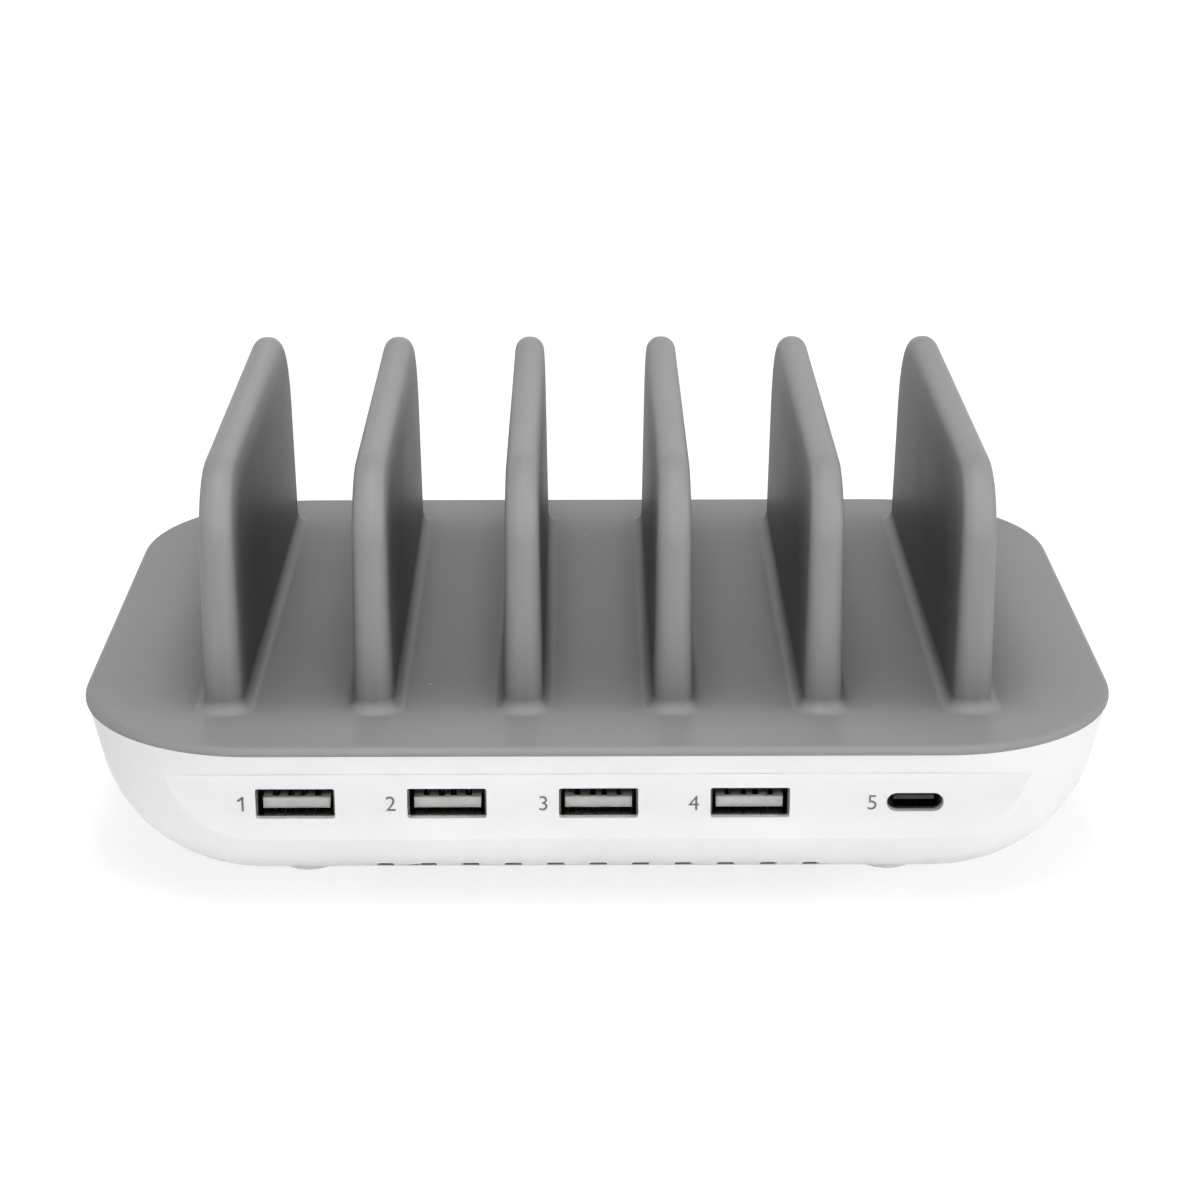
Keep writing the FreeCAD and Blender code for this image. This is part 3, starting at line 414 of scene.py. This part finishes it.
def tray_material(look):
    """Matt grey moulding with painted shade deep in its slots, and settled dust."""
    made = moulded("tray_grey", look.grey, look.grey_shade, rough=(0.45, 0.48), grain=look.grain,
                   cloud=look.cloud, strength=0.2)
    tree = made.node_tree
    shader = tree.nodes[SHADER]
    shader.inputs["Specular IOR Level"].default_value = look.tray_specular
    colour = shader.inputs["Base Color"]
    # Painted shade: the grey is darkened where the tray's own slots close in around a point
    openness = node(tree, "ShaderNodeAmbientOcclusion", samples=PAINTED_SHADE_RAYS, only_local=True,
                    distance=look.recess_reach)
    clear = spread(tree, openness.outputs["AO"], PAINTED_SHADE_RANGE)
    deep = [tone * look.recess for tone in look.grey]
    grey_with_painted_shade = mix_colours(tree, clear, deep, colour.links[0].from_socket)
    dust = use_group(tree, settled_dust_group, **DUST).outputs["Dust"]
    feed(tree, colour, mix_colours(tree, dust, grey_with_painted_shade, look.dust))
    return made


def laminate_material():
    """Green solder mask with paler copper tracks under it."""
    made, tree, shader = start_material("board_laminate", coat=BOARD_COAT)
    tracks = node(tree, "ShaderNodeTexBrick", vector=object_coordinates(tree), **TRACKS)
    clouds = use_group(tree, mould_grain_group, **BOARD_SURFACE).outputs["Clouds"]
    feed(tree, shader.inputs["Base Color"], tracks.outputs["Color"])
    feed(tree, shader.inputs["Roughness"], spread(tree, clouds, target=BOARD_ROUGH))
    add_relief(tree, shader, tracks.outputs["Fac"], **TRACK_RELIEF)
    return made


def wear(names, finish):
    """Gives the named CAD nodes a finish."""
    for name in names:
        slots = NODES[name].data.materials
        slots.clear()
        slots.append(finish)


def usb_a_nodes(part):
    """Nodes of one part of the four USB-A ports."""
    return [f"usb_a_{part}_{number}" for number in USB_A_NUMBERS]


class ORGANIZER_OT_mouldings(bpy.types.Operator):
    """Dress the white housing, the grey divider tray and the feet"""
    bl_idname = "organizer.mouldings"
    bl_label = "Mouldings and Feet"

    def execute(self, context):
        look = context.scene.organizer_case
        white = moulded("housing_white", look.white, look.white_shade, rough=(0.34, 0.44), grain=look.grain,
                        cloud=look.cloud, strength=0.25)
        wear(["lower_housing"], white)
        wear(["divider_tray"], tray_material(look))
        rubber = moulded("foot_rubber", look.foot, look.foot_shade, rough=(0.55, 0.70), grain=0.0003,
                         cloud=0.004, strength=0.5)
        let_light_in(rubber, weight=0.6, depth=0.002)
        feet = [f"foot_{end}_{side}" for end in ("front", "rear") for side in ("left", "right")]
        wear(feet, rubber)
        return {"FINISHED"}


class ORGANIZER_OT_ports(bpy.types.Operator):
    """Dress the USB receptacles"""
    bl_idname = "organizer.ports"
    bl_label = "USB Ports"

    def execute(self, context):
        look = context.scene.organizer_ports
        # Dark shell and contact colours are painted shade for the dark inside the mouths
        shell = sheet_metal("port_shell", look.shell, look.shell_shade, (0.20, 0.30), PORT_STREAKS)
        dark_shell = sheet_metal("usb_c_shell", look.dark_shell, look.dark_shell_shade, (0.24, 0.34),
                                 PORT_STREAKS)
        contact = sheet_metal("contact_gold", look.contact, look.contact_shade, (0.18, 0.34), PORT_STREAKS)
        tongue = moulded("usb_a_tongue", look.tongue, look.tongue_shade, rough=(0.40, 0.52), grain=0.0002,
                         cloud=0.003, strength=0.2)
        black = moulded("port_black", (0.020, 0.020, 0.021), (0.030, 0.030, 0.031), rough=(0.35, 0.5),
                        grain=0.0002, cloud=0.003)
        # Painted shade on the tongue, darker from its front face into the mouth
        tongue_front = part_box("usb_a_insulator_1")[0].y
        dull_inward(tongue, look.tongue_deep, tongue_front + TONGUE_EDGE, look.tongue_fade)
        let_light_in(tongue, weight=1.0, depth=0.003)
        wear(usb_a_nodes("shell"), shell)
        wear(usb_a_nodes("contacts") + ["usb_c_contacts"], contact)
        wear(usb_a_nodes("insulator"), tongue)
        wear(["usb_c_shell"], dark_shell)
        wear(["usb_c_insulator"], black)
        return {"FINISHED"}


class ORGANIZER_OT_inlet(bpy.types.Operator):
    """Dress the mains inlet"""
    bl_idname = "organizer.inlet"
    bl_label = "Mains Inlet"

    def execute(self, context):
        body = moulded("inlet_black", (0.018, 0.018, 0.019), (0.028, 0.028, 0.029), rough=(0.36, 0.50),
                       grain=0.0003, cloud=0.006)
        pin = sheet_metal("inlet_pin", (0.70, 0.66, 0.56), (0.56, 0.52, 0.44), (0.18, 0.32),
                          {"along_x": 3000.0, "along_y": 50.0, "along_z": 3000.0})
        wear(["inlet_body"], body)
        wear(["inlet_pins"], pin)
        return {"FINISHED"}


class ORGANIZER_OT_board(bpy.types.Operator):
    """Dress the circuit board, its chips and the screws"""
    bl_idname = "organizer.board"
    bl_label = "Board and Screws"

    def execute(self, context):
        steel = sheet_metal("screw_steel", (0.58, 0.58, 0.57), (0.44, 0.44, 0.43), (0.25, 0.42),
                            {"along_x": 900.0, "along_y": 900.0, "along_z": 4000.0})
        epoxy = moulded("epoxy_black", (0.022, 0.022, 0.023), (0.034, 0.034, 0.035), rough=(0.42, 0.58),
                        grain=0.00025, cloud=0.004)
        wear(["main_board"], laminate_material())
        wear(["case_screws", "board_screws"], steel)
        wear(["controller_chip", "port_controllers", "type_c_controller", "optocoupler", "bridge_rectifier",
              "switching_transistor", "output_rectifier"], epoxy)
        return {"FINISHED"}


class ORGANIZER_OT_converter(bpy.types.Operator):
    """Dress the converter's wound and dipped parts"""
    bl_idname = "organizer.converter"
    bl_label = "Converter Parts"

    def execute(self, context):
        ferrite = moulded("ferrite", (0.055, 0.055, 0.058), (0.085, 0.085, 0.088), rough=(0.50, 0.66),
                          grain=0.0004, cloud=0.005)
        bobbin = moulded("bobbin_black", (0.020, 0.020, 0.021), (0.030, 0.030, 0.031), rough=(0.40, 0.55),
                         grain=0.0004, cloud=0.006)
        tape = wound("winding_tape", (0.72, 0.47, 0.035), (0.60, 0.37, 0.022), (0.22, 0.38),
                     {"along_x": 700.0, "along_y": 30.0, "along_z": 30.0})
        copper = wound("copper_wire", (0.56, 0.23, 0.085), (0.30, 0.11, 0.040), (0.22, 0.36),
                       {"along_x": 1300.0, "along_y": 1300.0, "along_z": 40.0}, metallic=1.0)
        sleeve = wound("can_sleeve", (0.012, 0.015, 0.030), (0.020, 0.024, 0.045), (0.20, 0.32),
                       {"along_x": 60.0, "along_y": 60.0, "along_z": 260.0})
        heatsink = sheet_metal("heatsink_metal", (0.72, 0.73, 0.74), (0.58, 0.59, 0.60), (0.30, 0.45),
                               {"along_x": 1500.0, "along_y": 40.0, "along_z": 1500.0})
        film = moulded("film_yellow", (0.72, 0.48, 0.035), (0.62, 0.40, 0.028), rough=(0.25, 0.38),
                       grain=0.0005, cloud=0.006)
        ceramic = moulded("fuse_ceramic", (0.70, 0.67, 0.61), (0.60, 0.57, 0.52), rough=(0.24, 0.40),
                          grain=0.0004, cloud=0.005)
        coating = moulded("disc_coating", (0.020, 0.075, 0.26), (0.016, 0.058, 0.20), rough=(0.20, 0.36),
                          grain=0.0006, cloud=0.004)
        wear(["transformer_core", "filter_choke_core", "power_inductor"], ferrite)
        wear(["transformer_bobbin"], bobbin)
        wear(["transformer_winding"], tape)
        wear(["filter_choke_windings"], copper)
        wear(["bulk_capacitor_1", "bulk_capacitor_2", "output_capacitors", "port_capacitors"], sleeve)
        wear(["primary_heatsink", "secondary_heatsink"], heatsink)
        wear(["x_capacitor"], film)
        wear(["mains_fuse"], ceramic)
        wear(["varistor", "y_capacitor"], coating)
        return {"FINISHED"}


def print_middle_y(look):
    """Middle of the print's thickness on the port panel."""
    return PANEL_FRONT_Y - look.ink_thickness / 2


def add_flag(shaped, look):
    """Slanting stroke at the head of a plain upright 1."""
    left = min(vertex.co.x for vertex in shaped.verts)
    stroke = max(vertex.co.x for vertex in shaped.verts) - left
    top = max(vertex.co.z for vertex in shaped.verts)
    length = look.number_height * FLAG_LENGTH
    head = Vector((left + stroke * FLAG_LAP, print_middle_y(look), top))
    size = Matrix.Diagonal((length, look.ink_thickness, stroke, 1.0))
    corner_to_head = Matrix.Translation((-length / 2, 0.0, -stroke / 2))
    turn = Matrix.Rotation(-FLAG_SLOPE, 4, "Y")
    bmesh.ops.create_cube(shaped, size=1.0, matrix=Matrix.Translation(head) @ turn @ corner_to_head @ size)


def text_mesh(text, thickness):
    """Flat mesh of a text, as thick as the print."""
    curve = bpy.data.curves.new("number", "FONT")
    curve.body = text
    curve.extrude = thickness / 2
    holder = bpy.data.objects.new("number", curve)
    bpy.context.scene.collection.objects.link(holder)
    bpy.context.view_layer.update()
    mesh = bpy.data.meshes.new_from_object(holder.evaluated_get(bpy.context.evaluated_depsgraph_get()))
    bpy.data.objects.remove(holder)
    return mesh


def printed_number(text, right_x, middle_z, look, ink):
    """Number printed on the port panel, read from the front, with its right edge at right_x."""
    mesh = text_mesh(text, look.ink_thickness)
    right = max(vertex.co.x for vertex in mesh.vertices)
    bottom = min(vertex.co.y for vertex in mesh.vertices)
    top = max(vertex.co.y for vertex in mesh.vertices)
    scale = look.number_height / (top - bottom)
    middle = (bottom + top) / 2
    stand = Matrix(((scale, 0, 0, right_x - scale * right),
                    (0, 0, -1, print_middle_y(look)),
                    (0, scale, 0, middle_z - scale * middle),
                    (0, 0, 0, 1)))
    mesh.transform(stand)
    shaped = bmesh.new()
    shaped.from_mesh(mesh)
    bmesh.ops.remove_doubles(shaped, verts=shaped.verts, dist=MERGE_DISTANCE)
    if text == "1":
        add_flag(shaped, look)
    bmesh.ops.recalc_face_normals(shaped, faces=shaped.faces)
    shaped.to_mesh(mesh)
    shaped.free()
    mesh.materials.clear()
    mesh.materials.append(ink)
    piece = bpy.data.objects.new(f"port_number_{text}", mesh)
    bpy.context.scene.collection.objects.link(piece)
    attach(piece, "root")


class ORGANIZER_OT_port_numbers(bpy.types.Operator):
    """Print a plain number beside each port"""
    bl_idname = "organizer.port_numbers"
    bl_label = "Port Numbers"

    def execute(self, context):
        look = context.scene.organizer_ports
        ink = moulded("printed_ink", look.ink, look.ink_shade, rough=(0.45, 0.60), grain=0.0001,
                      cloud=0.0006, strength=0.2)
        low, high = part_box("usb_a_shell_1")
        middle_z = (low.z + high.z) / 2
        for number, shell in enumerate(usb_a_nodes("shell") + ["usb_c_shell"], start=1):
            printed_number(str(number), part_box(shell)[0].x - look.number_gap, middle_z, look, ink)
        return {"FINISHED"}


def seen_directly(tree):
    """1 for camera, mirror and glass rays, 0 for the light that falls on things."""
    rays = node(tree, "ShaderNodeLightPath").outputs
    seen = calculate(tree, "MAXIMUM", rays["Is Camera Ray"], rays["Is Glossy Ray"])
    return calculate(tree, "MAXIMUM", seen, rays["Is Transmission Ray"])


def studio_world(ambient):
    """White backdrop for the camera and an even light for the object."""
    world = bpy.data.worlds.new("studio")
    world.use_nodes = True
    tree = world.node_tree
    background = tree.nodes["Background"]
    background.inputs["Color"].default_value = WHITE
    feed(tree, background.inputs["Strength"], spread(tree, seen_directly(tree), target=(ambient, 1.0)))
    bpy.context.scene.world = world


def outside_footprint(tree):
    """0 on the floor under the housing, where shade is painted, 1 around it."""
    place = node(tree, "ShaderNodeSeparateXYZ", vector=object_coordinates(tree))
    sides = []
    for axis, half in FOOTPRINT_HALF.items():
        away = calculate(tree, "ABSOLUTE", place.outputs[axis])
        sides.append(spread(tree, away, (half, half + FOOTPRINT_EDGE)))
    return calculate(tree, "MAXIMUM", *sides)


def floor_material(look):
    """Pale matt floor that keeps the shadow and looks white to the camera, with a painted shadow near the
    housing and painted shade under it.
    """
    made, tree, shader = start_material("studio_floor")
    seen = seen_directly(tree)
    shader.inputs["Roughness"].default_value = FLOOR_ROUGHNESS
    shader.inputs["Specular IOR Level"].default_value = 0.0
    shader.inputs["Emission Color"].default_value = WHITE
    feed(tree, shader.inputs["Base Color"], mix_colours(tree, seen, look.floor, look.floor_seen))
    # Painted shadow: less lift where the housing closes in, and next to none under it
    open_sky = node(tree, "ShaderNodeAmbientOcclusion", **FLOOR_SHADE)
    away = calculate_vectors(tree, "LENGTH", object_coordinates(tree))
    backdrop = spread(tree, away.outputs["Value"], FLOOR_FADE, (look.floor_lift, look.floor_lift_far))
    around = spread(tree, open_sky.outputs["AO"], FLOOR_SHADE_RANGE, (look.floor_lift_near, backdrop))
    lift_with_painted_shade = spread(tree, outside_footprint(tree), target=(look.floor_lift_below, around))
    feed(tree, shader.inputs["Emission Strength"], calculate(tree, "MULTIPLY", lift_with_painted_shade, seen))
    return made


def studio_floor(look):
    """Flat floor around the object."""
    shaped = bmesh.new()
    bmesh.ops.create_grid(shaped, x_segments=1, y_segments=1, size=FLOOR_HALF)
    mesh = bpy.data.meshes.new("studio_floor")
    shaped.to_mesh(mesh)
    shaped.free()
    mesh.materials.append(floor_material(look))
    floor = bpy.data.objects.new("studio_floor", mesh)
    bpy.context.scene.collection.objects.link(floor)
    return floor


def set_up(holder, place, aim):
    """Puts a lamp or a camera at a place and points it at another."""
    holder.location = place
    holder.rotation_euler = (Vector(aim) - Vector(place)).to_track_quat("-Z", "Y").to_euler()
    bpy.context.scene.collection.objects.link(holder)


def softbox(name, place, size, power, mirrored):
    """Soft rectangular lamp that looks at the object, and may stay out of reflections."""
    lamp = bpy.data.lights.new(name, "AREA")
    lamp.shape = "RECTANGLE"
    lamp.size, lamp.size_y = size
    lamp.energy = power
    holder = bpy.data.objects.new(name, lamp)
    holder.visible_glossy = mirrored
    set_up(holder, place, LIGHT_AIM)


def studio_camera(look):
    """Camera at the height and distance of a product picture."""
    camera = bpy.data.cameras.new("camera")
    camera.lens = look.lens
    camera.sensor_width = SENSOR_WIDTH
    camera.clip_start = CLIP_START
    holder = bpy.data.objects.new("camera", camera)
    set_up(holder, look.camera_place, look.camera_aim)
    bpy.context.scene.camera = holder


class ORGANIZER_OT_stage(bpy.types.Operator):
    """Set the floor, the lights and the camera"""
    bl_idname = "organizer.stage"
    bl_label = "Studio"

    def execute(self, context):
        look = context.scene.organizer_studio
        context.scene.view_settings.view_transform = "Standard"
        studio_world(look.ambient)
        floor = studio_floor(look)
        for name, (place, size, mirrored) in SOFTBOXES.items():
            softbox(f"{name}_softbox", place, size, getattr(look, f"{name}_power"), mirrored)
        studio_camera(look)
        return {"FINISHED"}


OPERATORS = (ORGANIZER_OT_mouldings, ORGANIZER_OT_ports, ORGANIZER_OT_inlet, ORGANIZER_OT_board,
             ORGANIZER_OT_converter, ORGANIZER_OT_port_numbers, ORGANIZER_OT_stage)
SETTINGS = {"organizer_case": CaseFinish, "organizer_ports": PortFinish, "organizer_studio": StudioSettings}


class ORGANIZER_PT_panel(bpy.types.Panel):
    """Sidebar panel with the charging station's steps and settings"""
    bl_idname = "ORGANIZER_PT_panel"
    bl_label = "Charging Station Organizer"
    bl_space_type = "VIEW_3D"
    bl_region_type = "UI"
    bl_category = "Organizer"

    def draw(self, context):
        for operator in OPERATORS:
            self.layout.operator(operator.bl_idname)
        for name, group in SETTINGS.items():
            column = self.layout.column(align=True)
            for setting in group.__annotations__:
                column.prop(getattr(context.scene, name), setting)


def register():
    """Makes the settings, the operators and the panel known to Blender."""
    for group in (*SETTINGS.values(), *OPERATORS, ORGANIZER_PT_panel):
        bpy.utils.register_class(group)
    for name, group in SETTINGS.items():
        setattr(bpy.types.Scene, name, bpy.props.PointerProperty(type=group))


def unregister():
    """Takes them out again."""
    for name in SETTINGS:
        delattr(bpy.types.Scene, name)
    for group in (ORGANIZER_PT_panel, *reversed(OPERATORS), *SETTINGS.values()):
        bpy.utils.unregister_class(group)


def main():
    """Dresses every piece and sets the stage."""
    register()
    bpy.ops.organizer.mouldings()
    bpy.ops.organizer.ports()
    bpy.ops.organizer.inlet()
    bpy.ops.organizer.board()
    bpy.ops.organizer.converter()
    bpy.ops.organizer.port_numbers()
    bpy.ops.organizer.stage()


if __name__ == "__main__":
    main()
